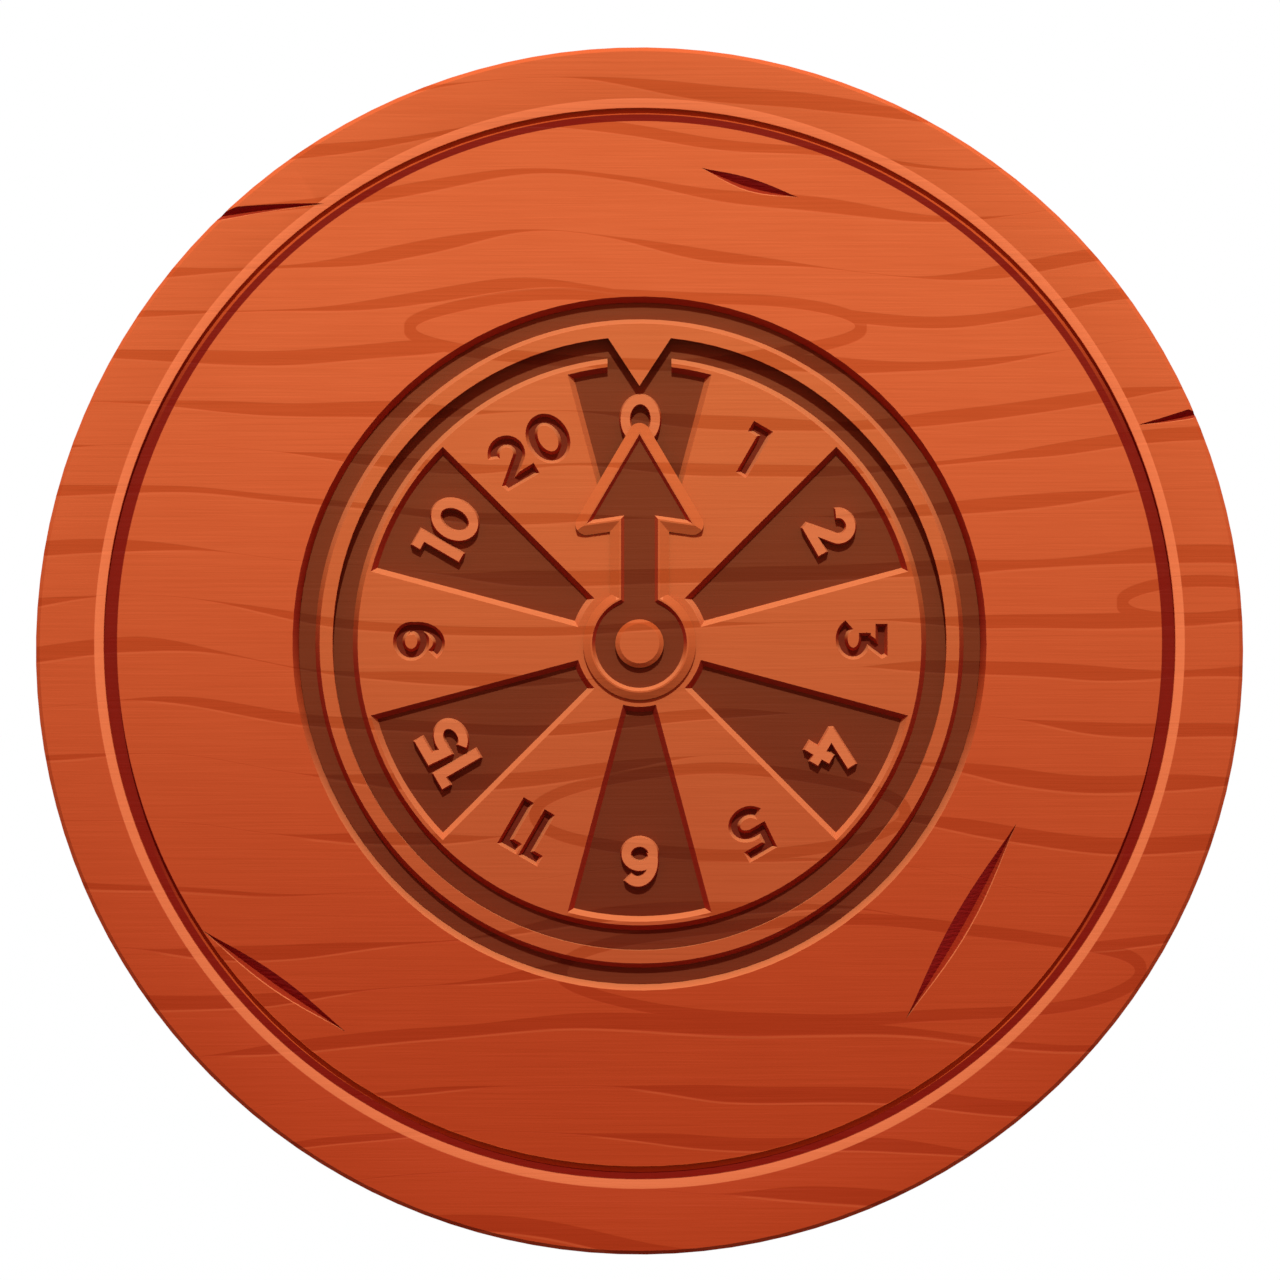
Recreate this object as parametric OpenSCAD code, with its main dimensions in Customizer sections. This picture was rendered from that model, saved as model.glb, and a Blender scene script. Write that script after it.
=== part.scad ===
// Carnival game wheel: a round wooden wall board with a number wheel that turns in a well,
// a fixed ring with a V pointer, and a spinner hand over the dial, all on one spindle.
// Each piece is drawn lying on its back, wall side down, and then stood up to face -Y.

/* [Board] */
// Diameter of the round board
board_d = 600; // [580:5:660]
// Thickness of the board
board_t = 42; // [40:1:50]
// How far the middle of the board lies below the wheel's axis
board_drop = 3.7; // [0:0.1:8]
// Chamfer on the board's front and back edges
board_chamfer = 2; // [0.5:0.5:4]

/* [Rim groove] */
// Flat border between the rim groove and the edge of the board
rim_border = 29.1; // [22:0.1:36]
// Width of the dark groove
rim_groove_w = 6.5; // [4:0.1:9]
// Depth of the dark groove
rim_groove_depth = 4; // [2:0.1:6]
// Width of the pale bevel outside the groove
rim_bevel_w = 4.7; // [3:0.1:7]
// Depth of the pale bevel where it meets the groove
rim_bevel_depth = 1.2; // [0.5:0.1:1.8]

/* [Dial] */
// Diameter of the wheel's number face
wheel_face_d = 280.2; // [260:0.2:300]
// Width of the groove between the wheel's face and the ring
inner_groove_w = 12.4; // [10:0.1:16]
// Width of the ring's face
ring_face_w = 6.4; // [5:0.1:9]
// Width of the groove between the ring and the board
outer_groove_w = 13.5; // [11:0.1:18]
// Depth of the groove between the ring and the board
outer_groove_depth = 6; // [5:0.1:8]
// Slope of the board's wall round the dial, measured across
recess_draft = 2.8; // [1:0.1:4]

/* [Pointer ring] */
// Slope of the ring's outer wall, measured across
ring_draft = 2.4; // [1:0.1:3.5]
// How far the ring reaches over the edge of the wheel
ring_overhang = 3.5; // [2:0.1:5]
// Thickness of the ring's hidden flange
ring_flange_t = 4; // [3:0.1:6]
// Clearance round the ring in its seat
ring_fit = 0.15; // [0.1:0.01:0.3]
// Width of the V pointer at the ring
pointer_w = 31.2; // [20:0.1:40]
// How far the V pointer reaches in from the ring
pointer_reach = 24.5; // [18:0.1:30]
// Thickness of the V pointer
pointer_t = 1.8; // [1.5:0.1:3]
// Running gap between the pointer and the wheel's face
pointer_gap = 0.4; // [0.3:0.05:1]

/* [Number wheel] */
// Thickness of the wheel
wheel_t = 20; // [18:0.5:22]
// Gap between the wheel's rim and the wall of its well
wheel_gap = 0.8; // [0.5:0.1:1.5]
// Number of sectors, every second one a sunk pocket
sector_count = 12; // [8:4:16]
// Depth of the sunk pockets and of the ledge round the wheel's face
pocket_depth = 5.2; // [4:0.1:6.5]
// Slope of the pocket walls, measured across
pocket_draft = 2.6; // [1:0.1:3.5]
// Slope of the wall round the wheel's face, measured across
shoulder_draft = 2.6; // [1:0.1:3.5]
// Distance from the axis to the inner end of a pocket
pocket_inner_r = 31.5; // [30:0.1:40]
// Width of the lip between a pocket and the edge of the face
lip_w = 1.8; // [1:0.1:4]
// Side clearance of the notch in the lip under the pointer
notch_gap = 0.3; // [0.1:0.1:2]

/* [Spinner hand] */
// Distance between the tip of the hand and the V pointer
hand_tip_gap = 18.5; // [6:0.1:30]
// Width of the carved arrowhead across its barbs
arrowhead_w = 52.6; // [40:0.1:70]
// Length of the carved arrowhead from its point to its barbs
arrowhead_l = 44.6; // [36:0.1:56]
// How much further out the barbs meet the shaft
barb_sweep = 2.4; // [0:0.1:8]
// Width of the carved shaft
arrow_shaft_w = 18.4; // [12:0.1:26]
// Width of the border round the carved arrow
hand_border = 5.5; // [4:0.1:8]
// Level strip of the border beside the carving
hand_land = 0.8; // [0.4:0.1:2]
// Thickness of the hand
hand_t = 3.8; // [3.4:0.1:5]
// Thickness of the hand at its edge
hand_edge_t = 1; // [0.6:0.1:1.2]
// Depth of the carved arrow
arrow_depth = 2.8; // [1.5:0.1:3]
// Slope of the carved arrow's walls, measured across
arrow_draft = 1.6; // [0.8:0.1:3]
// Radius of the round recess at the hub
hub_recess_r = 23.6; // [20:0.1:26]
// Width of the border round the hub recess
hub_border = 4.4; // [3:0.1:6]
// Thickness of the hub at its edge
hub_edge_t = 1.5; // [1.4:0.1:2.2]
// Running gap between the hand and the wheel's face
hand_gap = 0.4; // [0.3:0.05:1]

/* [Hub] */
// Radius of the boss behind the hand
hand_boss_r = 15; // [13:0.1:16]
// Gap between that boss and the well in the wheel's hub
hub_well_gap = 2; // [1:0.1:4]
// Depth of the well in the wheel's hub
hub_well_depth = 8; // [7.5:0.1:10]
// Thickness of wood that the hand's bush passes through
hand_web_t = 3; // [2:0.1:3.8]
// Radius of the pocket for the nut and its washers
nut_pocket_r = 8.5; // [8.3:0.1:10]
// Radius of the round cap over the spindle's end
cap_r = 12; // [11:0.1:15]
// Thickness of wood over the spindle's end
cap_crown = 1.6; // [1:0.1:4]
// Bevel round the cap's top
cap_bevel = 2.2; // [1:0.1:3]
// Gap between the cap and the floor of the hub recess
cap_gap = 0.4; // [0.3:0.05:0.8]

/* [Spindle] */
// Radius of the spindle in the wheel
spindle_r = 6; // [5:0.1:7]
// Radius of the threaded end that carries the hand
stud_r = 3; // [2.5:0.1:3.5]
// Chamfer at the end of the spindle
stud_chamfer = 0.5; // [0.2:0.1:1]
// Radius of the flange behind the board
flange_r = 26; // [24:0.5:32]
// Thickness of that flange
flange_t = 4; // [3:0.1:6]
// Distance from the flange's edge to the middle of a screw
flange_screw_edge = 9; // [7:0.1:10]
// Number of flange screws
flange_screw_count = 4; // [3:1:6]
// Radial running clearance of the bushes
run_gap = 0.05; // [0.02:0.01:0.1]
// End play between a bush and what it turns against
end_play = 0.05; // [0.02:0.01:0.2]
// Radial gap between a hole and the piece that stays in it
press_gap = 0.02; // [0.01:0.01:0.05]

/* [Bushes and washers] */
// Outer radius of the wheel's bushes
bush_r = 9; // [8:0.1:10]
// Radius of their flanges
bush_flange_r = 13; // [11:0.1:14]
// Thickness of their flanges
bush_flange_t = 1.5; // [1:0.1:2]
// Length of a wheel bush inside the wheel
bush_l = 5; // [3:0.1:5.5]
// Outer radius of the hand's bush
hand_bush_r = 5; // [4.5:0.1:6]
// Radius of its flange
hand_bush_flange_r = 8; // [7:0.1:10]
// Thickness of its flange
hand_bush_flange_t = 1.2; // [0.8:0.1:1.5]
// Radius of the thrust washer behind the wheel
thrust_washer_r = 15; // [13:0.1:20]
// Thickness of the thrust washer
thrust_washer_t = 1.5; // [1:0.1:2.5]
// Radius of the washer on the spindle's shoulder
shoulder_washer_r = 9.5; // [8.5:0.1:11]
// Thickness of that washer
shoulder_washer_t = 1.2; // [0.8:0.1:1.5]
// Radius of the friction washer on the hand
friction_washer_r = 8; // [6:0.1:8.2]
// Thickness of the friction washer
friction_washer_t = 0.8; // [0.5:0.1:1]
// Radius of the cone-shaped spring washer
spring_washer_r = 6.5; // [5.5:0.1:7.5]
// Thickness of the metal of the spring washer
spring_washer_t = 0.5; // [0.3:0.1:0.7]
// Height of the spring washer as fitted
spring_washer_h = 1.2; // [1:0.1:1.4]
// Width across the flats of the nut
nut_af = 10; // [9:0.1:11]
// Thickness of the nut
nut_t = 3.2; // [2.5:0.1:4]
// Length of spindle that shows past the nut
stud_past_nut = 0.8; // [0.4:0.1:1.5]

/* [Battens] */
// Distance from the axis to the middle of a batten
batten_x = 120; // [112:1:125]
// Width of a batten
batten_w = 50; // [40:1:52]
// Thickness of a batten
batten_t = 22; // [18:0.5:30]
// Distance from a batten's corners to the edge of the board
batten_margin = 25; // [15:1:50]
// Length of the bevel on a batten's ends
batten_bevel = 10; // [4:0.5:16]
// Distance between the two inner screws of a batten
batten_screw_pitch = 150; // [120:1:200]
// Distance from a batten's end to its outer screw
batten_screw_inset = 32; // [25:1:45]

/* [Wall fixings] */
// Distance between the upper and lower threaded inserts
insert_pitch = 280; // [230:1:330]
// Radius of the insert's bore, for a 6 mm bolt
insert_bore_r = 3; // [2.5:0.1:3.5]
// Outer radius of an insert
insert_r = 4.5; // [4.2:0.1:6]
// Length of an insert
insert_l = 12; // [8:0.5:14]
// Room for the bolt's end behind the insert
insert_room = 2; // [1:0.5:3]

/* [Screws] */
// Radius of the screws in the battens
batten_screw_r = 2.2; // [1.8:0.1:2.6]
// How far they reach into the board
batten_screw_bite = 12; // [8:0.5:14]
// Radius of the screws in the spindle's flange
flange_screw_shank_r = 2; // [1.6:0.1:2.4]
// How far they reach into the board
flange_screw_bite = 11; // [8:0.5:14]
// Number of screws that hold the ring
ring_screw_count = 6; // [4:1:6]
// Radius of the screws in the ring
ring_screw_shank_r = 1.6; // [1.4:0.1:1.8]
// How far they reach into the ring
ring_screw_bite = 5; // [3:0.1:6]
// Distance from the wheel's well to the middle of a ring screw
ring_screw_edge = 2.4; // [2.2:0.1:2.8]
// Radius of a screw's head, in shank radii
screw_head_ratio = 2; // [1.8:0.05:2.1]
// Length of a screw's point, in shank radii
screw_point_ratio = 1.5; // [1:0.1:2]
// Depth of a screw's head below the surface
screw_sink = 0.4; // [0.2:0.1:1]
// Gap between a screw and its hole
screw_gap = 0.05; // [0.02:0.01:0.1]

/* [Hidden] */
$fn = 96;
// How far a cut runs past the surface it opens
over = 1;
// How far a rounding bulges past the sides that it joins, so that it crosses them
bulge = 0.04;
// Longer than any piece, for half-space cuts
far = 2 * board_d;

// Radii of the dial, from the middle outwards
wheel_face_r = wheel_face_d / 2;
ring_in_r = wheel_face_r + inner_groove_w;
ring_out_r = ring_in_r + ring_face_w;
recess_r = ring_out_r + outer_groove_w;
seat_r = recess_r - recess_draft;
well_r = ring_in_r + ring_overhang;
wheel_r = well_r - wheel_gap;
pointer_tip_r = ring_in_r - pointer_reach;
rim_bevel_r = board_d / 2 - rim_border;
rim_groove_out_r = rim_bevel_r - rim_bevel_w;
rim_groove_in_r = rim_groove_out_r - rim_groove_w;
hub_well_r = hand_boss_r + hub_well_gap;
hub_r = hub_recess_r + hub_border;

// Heights above the wall, from the back to the front
board_back_z = batten_t;
face_z = board_back_z + board_t;
groove_floor_z = face_z - outer_groove_depth;
ring_seat_z = groove_floor_z - ring_flange_t;
wheel_face_z = face_z - pointer_t - pointer_gap;
ledge_z = wheel_face_z - pocket_depth;
ring_under_z = ledge_z + pointer_gap;
wheel_back_z = wheel_face_z - wheel_t;
rear_flange_z = wheel_back_z - bush_flange_t;
well_z = rear_flange_z - end_play - thrust_washer_t;
hub_floor_z = wheel_face_z - hub_well_depth;
shoulder_z = hub_floor_z + bush_flange_t + end_play;
hand_bush_z = shoulder_z + shoulder_washer_t + end_play;
hand_boss_z = hand_bush_z + hand_bush_flange_t;
nut_seat_z = hand_boss_z + hand_web_t;
hand_back_z = wheel_face_z + hand_gap;
hand_face_z = hand_back_z + hand_t;
arrow_floor_z = hand_face_z - arrow_depth;
friction_z = nut_seat_z + end_play;
spring_z = friction_z + friction_washer_t;
nut_z = spring_z + spring_washer_h;
nut_top_z = nut_z + nut_t;
stud_end_z = nut_top_z + stud_past_nut;
cap_back_z = arrow_floor_z + cap_gap;
cap_face_z = stud_end_z + end_play + cap_crown;

// Places of the fixings
batten_half_l = sqrt(pow(board_d / 2 - batten_margin, 2) - pow(batten_x + batten_w / 2, 2));
batten_screw_ys = [batten_screw_pitch / 2, batten_half_l - batten_screw_inset];
ring_screw_r = well_r + ring_screw_edge;
flange_screw_r = flange_r - flange_screw_edge;
batten_screw_l = batten_t - screw_sink + batten_screw_bite;
flange_screw_l = flange_t - screw_sink + flange_screw_bite;
ring_screw_l = ring_seat_z + ring_screw_bite - board_back_z - screw_sink;

// Corners of the carved arrow's right half at the hand's face, from its point to the hub
arrow_tip_r = pointer_tip_r - hand_tip_gap - hand_border;
barb_y = arrow_tip_r - arrowhead_l;
tip = [0, arrow_tip_r];
barb = [arrowhead_w / 2, barb_y];
notch = [arrow_shaft_w / 2, barb_y + barb_sweep];
root = [arrow_shaft_w / 2, 0];
// Height inside the arrowhead that the shaft runs up to
neck_y = barb_y + arrowhead_l / 4;

wood = [0.82, 0.39, 0.20];
wheel_wood = [0.78, 0.37, 0.19];
batten_wood = [0.66, 0.44, 0.26];
steel = [0.70, 0.71, 0.73];
brass = [0.80, 0.62, 0.30];
fibre = [0.35, 0.16, 0.10];

// Point on the other side of the middle line
function across(p) = [-p[0], p[1]];

// Stands a piece up, so that what faced the ceiling faces -Y
module stand() {
    rotate([90, 0, 0]) children();
}

// Half space to the right of the line from a to b, moved right by a distance. Its boundary holds
// the line at height z, and leans to the right by slope for each unit of rise.
module beyond(a, b, z, slope, by = 0) {
    translate([a[0], a[1], z]) rotate(atan2(b[1] - a[1], b[0] - a[0]) - 90)
        translate([by, 0, 0]) rotate([0, atan(slope), 0]) translate([0, -far / 2, -far / 2]) cube(far);
}

// Arrow between two heights. Its sides slope, and hold the arrow's outline, grown by a distance,
// at the height of the hand's face.
module arrow_block(low_z, high_z, slope, by) {
    difference() {
        translate([-pointer_tip_r, 0, low_z]) cube([2 * pointer_tip_r, pointer_tip_r, high_z - low_z]);
        beyond(barb, tip, hand_face_z, slope, by);
        beyond(tip, across(barb), hand_face_z, slope, by);
        intersection() {
            beyond(notch, barb, hand_face_z, slope, by);
            beyond(across(barb), across(notch), hand_face_z, slope, by);
        }
    }
    difference() {
        translate([-pointer_tip_r, 0, low_z]) cube([2 * pointer_tip_r, neck_y, high_z - low_z]);
        beyond(root, notch, hand_face_z, slope, by);
        beyond(across(notch), across(root), hand_face_z, slope, by);
    }
}

// What rounding takes off the hand's edge at corner p of the arrow, between neighbours a and b
module corner_waste(p, a, b) {
    to_a = (a - p) / norm(a - p);
    to_b = (b - p) / norm(b - p);
    out = -to_a - to_b;
    half_angle = acos(to_a * to_b) / 2;
    translate([p[0], p[1], hand_back_z - over]) rotate(atan2(out[1], out[0])) difference() {
        translate([hand_border * sin(half_angle), -hand_border, 0])
            cube([hand_border / sin(half_angle), 2 * hand_border, hand_t + 2 * over]);
        translate([0, 0, -over]) cylinder(r = hand_border + bulge, h = hand_t + 4 * over);
    }
}

// Ring with a round hole
module washer(outer_r, hole_r, low_z, t) {
    translate([0, 0, low_z]) difference() {
        cylinder(r = outer_r, h = t);
        translate([0, 0, -over]) cylinder(r = hole_r, h = t + 2 * over);
    }
}

// Countersunk wood screw with its head at z = 0 and its point up, or its hole when grown by a gap and a lead
module screw(shank_r, l, gap = 0, lead = 0) {
    head_r = screw_head_ratio * shank_r;
    point_l = screw_point_ratio * shank_r;
    rotate_extrude() polygon([
        [0, -lead],
        if (lead > 0) [head_r + gap, -lead],
        [head_r + gap, 0],
        [shank_r + gap, head_r - shank_r],
        [shank_r + gap, l - point_l + gap],
        [0, l + gap]
    ]);
}

// Hole for such a screw, open at the surface that lies a screw_sink below its head
module screw_hole(shank_r, l) {
    translate([0, 0, screw_sink]) screw(shank_r, l, screw_gap, over + screw_sink);
}

// Places of the screws and inserts, all pointing forwards
module at_batten_screws(side) {
    for (y = batten_screw_ys, turn = [-1, 1]) translate([side * batten_x, turn * y, 0]) children();
}

module at_ring_screws() {
    for (i = [0 : ring_screw_count - 1])
        rotate((i + 0.5) * 360 / ring_screw_count) translate([0, ring_screw_r, board_back_z]) children();
}

module at_flange_screws() {
    for (i = [0 : flange_screw_count - 1])
        rotate((i + 0.5) * 360 / flange_screw_count)
            translate([0, flange_screw_r, board_back_z - flange_t]) children();
}

module at_inserts(side) {
    for (turn = [-1, 1]) translate([side * batten_x, turn * insert_pitch / 2, 0]) children();
}

// Round board: its rim groove, the recess for the ring and the well that the wheel turns in
module backboard() {
    outer_r = board_d / 2;
    color(wood) stand() difference() {
        translate([0, -board_drop, 0]) rotate_extrude() polygon([
            [0, board_back_z],
            [outer_r - board_chamfer, board_back_z],
            [outer_r, board_back_z + board_chamfer],
            [outer_r, face_z - board_chamfer],
            [outer_r - board_chamfer, face_z],
            [0, face_z]
        ]);
        rotate_extrude() polygon([
            [0, well_z],
            [well_r, well_z],
            [well_r, ring_seat_z],
            [seat_r, ring_seat_z],
            [seat_r, groove_floor_z],
            [recess_r, face_z],
            [recess_r, face_z + over],
            [0, face_z + over]
        ]);
        rotate_extrude() polygon([
            [rim_groove_in_r, face_z - rim_groove_depth],
            [rim_groove_out_r, face_z - rim_groove_depth],
            [rim_groove_out_r, face_z - rim_bevel_depth],
            [rim_bevel_r, face_z],
            [rim_bevel_r, face_z + over],
            [rim_groove_in_r, face_z + over]
        ]);
        translate([0, 0, board_back_z - over]) cylinder(r = spindle_r + press_gap, h = board_t);
        for (side = [-1, 1]) at_batten_screws(side) screw_hole(batten_screw_r, batten_screw_l);
        at_ring_screws() screw_hole(ring_screw_shank_r, ring_screw_l);
        at_flange_screws() screw_hole(flange_screw_shank_r, flange_screw_l);
    }
}

// Upright batten across the grain, with bevelled ends, screw holes and seats for the inserts
module batten(side) {
    color(batten_wood) stand() difference() {
        translate([side * batten_x - batten_w / 2, 0, 0]) rotate([90, 0, 90])
            linear_extrude(batten_w) polygon([
                [-batten_half_l + batten_bevel, 0],
                [batten_half_l - batten_bevel, 0],
                [batten_half_l, batten_bevel],
                [batten_half_l, batten_t],
                [-batten_half_l, batten_t],
                [-batten_half_l, batten_bevel]
            ]);
        at_batten_screws(side) screw_hole(batten_screw_r, batten_screw_l);
        at_inserts(side) translate([0, 0, -over])
            cylinder(r = insert_r + press_gap, h = insert_l + insert_room + over);
    }
}

module left_batten() {
    batten(-1);
}

module right_batten() {
    batten(1);
}

module batten_screws() {
    color(steel) stand() for (side = [-1, 1]) at_batten_screws(side)
        translate([0, 0, screw_sink]) screw(batten_screw_r, batten_screw_l);
}

// Threaded inserts, flush with the backs of the battens
module wall_inserts() {
    color(brass) stand() for (side = [-1, 1]) at_inserts(side)
        washer(insert_r, insert_bore_r, 0, insert_l);
}

// Plan of the V pointer, with its root inside the ring
module pointer_plan() {
    polygon([
        [0, pointer_tip_r],
        [pointer_w / 2, sqrt(pow(ring_in_r, 2) - pow(pointer_w / 2, 2))],
        [pointer_w / 2, ring_in_r + ring_face_w / 2],
        [-pointer_w / 2, ring_in_r + ring_face_w / 2],
        [-pointer_w / 2, sqrt(pow(ring_in_r, 2) - pow(pointer_w / 2, 2))]
    ]);
}

// Ring with a hidden flange in its seat, a lip over the wheel's ledge and the V pointer
module pointer_ring() {
    foot_r = well_r + ring_fit;
    gusset_r = wheel_face_r + shoulder_draft + pointer_gap;
    color(wood) stand() difference() {
        union() {
            rotate_extrude() polygon([
                [ring_in_r, face_z],
                [ring_in_r, ring_under_z],
                [foot_r, ring_under_z],
                [foot_r, ring_seat_z],
                [seat_r - ring_fit, ring_seat_z],
                [seat_r - ring_fit, groove_floor_z],
                [ring_out_r + ring_draft, groove_floor_z],
                [ring_out_r, face_z]
            ]);
            translate([0, 0, face_z - pointer_t]) linear_extrude(pointer_t) pointer_plan();
            translate([0, 0, ring_under_z]) linear_extrude(face_z - ring_under_z) difference() {
                pointer_plan();
                circle(gusset_r);
            }
        }
        at_ring_screws() screw_hole(ring_screw_shank_r, ring_screw_l);
    }
}

module ring_screws() {
    color(steel) stand() at_ring_screws()
        translate([0, 0, screw_sink]) screw(ring_screw_shank_r, ring_screw_l);
}

// Turned spindle: flange behind the board, shank for the wheel, shoulder, threaded end for the hand
module spindle() {
    color(steel) stand() difference() {
        rotate_extrude() polygon([
            [0, board_back_z - flange_t],
            [flange_r, board_back_z - flange_t],
            [flange_r, board_back_z],
            [spindle_r, board_back_z],
            [spindle_r, shoulder_z],
            [stud_r, shoulder_z],
            [stud_r, stud_end_z - stud_chamfer],
            [stud_r - stud_chamfer, stud_end_z],
            [0, stud_end_z]
        ]);
        at_flange_screws() screw_hole(flange_screw_shank_r, flange_screw_l);
    }
}

module flange_screws() {
    color(steel) stand() at_flange_screws()
        translate([0, 0, screw_sink]) screw(flange_screw_shank_r, flange_screw_l);
}

module thrust_washer() {
    color(fibre) stand() washer(thrust_washer_r, spindle_r + run_gap, well_z, thrust_washer_t);
}

// Sunk sector of the dial, with a slope on each of its four walls
module pocket() {
    outer_r = wheel_face_r - lip_w;
    slope = pocket_draft / pocket_depth;
    half_angle = 180 / sector_count;
    difference() {
        rotate_extrude() polygon([
            [pocket_inner_r + pocket_draft, ledge_z],
            [outer_r - pocket_draft, ledge_z],
            [outer_r + over * slope, wheel_face_z + over],
            [pocket_inner_r - over * slope, wheel_face_z + over]
        ]);
        beyond([0, 0], [sin(half_angle), cos(half_angle)], wheel_face_z, slope);
        beyond([-sin(half_angle), cos(half_angle)], [0, 0], wheel_face_z, slope);
    }
}

// Wheel: sunk and level sectors by turns, a ledge under the ring and a hub bored from both sides
module number_wheel() {
    notch_w = pointer_w + 2 * notch_gap;
    notch_in_r = wheel_face_r - lip_w - 2 * pocket_draft;
    color(wheel_wood) stand() difference() {
        rotate_extrude() polygon([
            [0, wheel_back_z],
            [wheel_r, wheel_back_z],
            [wheel_r, ledge_z],
            [wheel_face_r + shoulder_draft, ledge_z],
            [wheel_face_r, wheel_face_z],
            [0, wheel_face_z]
        ]);
        for (i = [0 : 2 : sector_count - 1]) rotate(i * 360 / sector_count) pocket();
        translate([-notch_w / 2, notch_in_r, ledge_z])
            cube([notch_w, wheel_r - notch_in_r, pocket_depth + over]);
        translate([0, 0, hub_floor_z]) cylinder(r = hub_well_r, h = hub_well_depth + over);
        translate([0, 0, wheel_back_z - over]) cylinder(r = bush_r + press_gap, h = wheel_t + 2 * over);
    }
}

// Flanged bush with its flange at z = 0 and its body up
module flanged_bush(bore_r, body_r, collar_r, collar_t, body_l) {
    rotate_extrude() polygon([
        [bore_r, 0],
        [collar_r, 0],
        [collar_r, collar_t],
        [body_r, collar_t],
        [body_r, collar_t + body_l],
        [bore_r, collar_t + body_l]
    ]);
}

module wheel_bush() {
    flanged_bush(spindle_r + run_gap, bush_r, bush_flange_r, bush_flange_t, bush_l);
}

module rear_bush() {
    color(brass) stand() translate([0, 0, rear_flange_z]) wheel_bush();
}

module front_bush() {
    color(brass) stand() translate([0, 0, hub_floor_z + bush_flange_t]) rotate([180, 0, 0]) wheel_bush();
}

module shoulder_washer() {
    color(steel) stand() washer(shoulder_washer_r, stud_r + run_gap, shoulder_z, shoulder_washer_t);
}

// Hand: an arrow carved into a plate that thins to its edges, on a round hub with a boss behind it
module spinner_hand() {
    edge_slope = (hand_border - hand_land) / (hand_t - hand_edge_t);
    wall_slope = arrow_draft / arrow_depth;
    color(wheel_wood) stand() difference() {
        union() {
            difference() {
                intersection() {
                    arrow_block(hand_back_z, hand_face_z, 0, hand_border);
                    arrow_block(hand_back_z - over, hand_face_z + over, -edge_slope, hand_land);
                }
                corner_waste(tip, barb, across(barb));
                corner_waste(barb, notch, tip);
                corner_waste(across(barb), across(notch), tip);
            }
            rotate_extrude() polygon([
                [0, hand_boss_z],
                [hand_boss_r, hand_boss_z],
                [hand_boss_r, hand_back_z],
                [hub_r, hand_back_z],
                [hub_r, hand_back_z + hub_edge_t],
                [hub_recess_r + hand_land, hand_face_z],
                [0, hand_face_z]
            ]);
        }
        arrow_block(arrow_floor_z, hand_face_z + over, wall_slope, 0);
        translate([0, 0, arrow_floor_z]) cylinder(
            r1 = hub_recess_r - arrow_draft, r2 = hub_recess_r + over * wall_slope, h = arrow_depth + over
        );
        translate([0, 0, nut_seat_z]) cylinder(r = nut_pocket_r, h = hand_face_z - nut_seat_z);
        translate([0, 0, hand_boss_z - over])
            cylinder(r = hand_bush_r + press_gap, h = hand_web_t + 2 * over);
    }
}

module hand_bush() {
    color(brass) stand() translate([0, 0, hand_bush_z])
        flanged_bush(stud_r + run_gap, hand_bush_r, hand_bush_flange_r, hand_bush_flange_t, hand_web_t);
}

module friction_washer() {
    color(fibre) stand() washer(friction_washer_r, stud_r + run_gap, friction_z, friction_washer_t);
}

// Cone-shaped spring washer, wide end on the friction washer and narrow end on the nut
module spring_washer() {
    hole_r = stud_r + 2 * run_gap;
    rise = spring_washer_h - spring_washer_t;
    color(steel) stand() translate([0, 0, spring_z]) rotate_extrude() polygon([
        [spring_washer_r, 0],
        [spring_washer_r, spring_washer_t],
        [hole_r, spring_washer_t + rise],
        [hole_r, rise]
    ]);
}

// Six-sided prism by its width across the flats
module hexagon_bar(flats, l) {
    cylinder(d = flats / cos(30), h = l, $fn = 6);
}

module lock_nut() {
    color(steel) stand() translate([0, 0, nut_z]) difference() {
        hexagon_bar(nut_af, nut_t);
        translate([0, 0, -over]) cylinder(r = stud_r + press_gap, h = nut_t + 2 * over);
    }
}

// Turned cap, pressed over the nut and the end of the spindle
module spindle_cap() {
    color(wheel_wood) stand() difference() {
        rotate_extrude() polygon([
            [0, cap_back_z],
            [cap_r, cap_back_z],
            [cap_r, cap_face_z - cap_bevel],
            [cap_r - cap_bevel, cap_face_z],
            [0, cap_face_z]
        ]);
        translate([0, 0, nut_z]) hexagon_bar(nut_af + 2 * press_gap, nut_t);
        translate([0, 0, nut_z]) cylinder(r = stud_r + run_gap, h = stud_end_z + end_play - nut_z);
    }
}

backboard();
left_batten();
right_batten();
batten_screws();
wall_inserts();
pointer_ring();
ring_screws();
spindle();
flange_screws();
thrust_washer();
number_wheel();
rear_bush();
front_bush();
shoulder_washer();
spinner_hand();
hand_bush();
friction_washer();
spring_washer();
lock_nut();
spindle_cap();
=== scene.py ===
"""Carnival game wheel: carved and stained wood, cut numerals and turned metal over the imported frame."""

import logging
import math
from dataclasses import dataclass
from enum import Enum
from typing import Optional, Union

import bmesh
import bpy
from bmesh.types import BMesh, BMVert
from bpy.types import GeometryNodeTree, Material, Mesh, Node, NodeSocket, Object, World
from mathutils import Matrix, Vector
from mathutils.bvhtree import BVHTree


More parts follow.
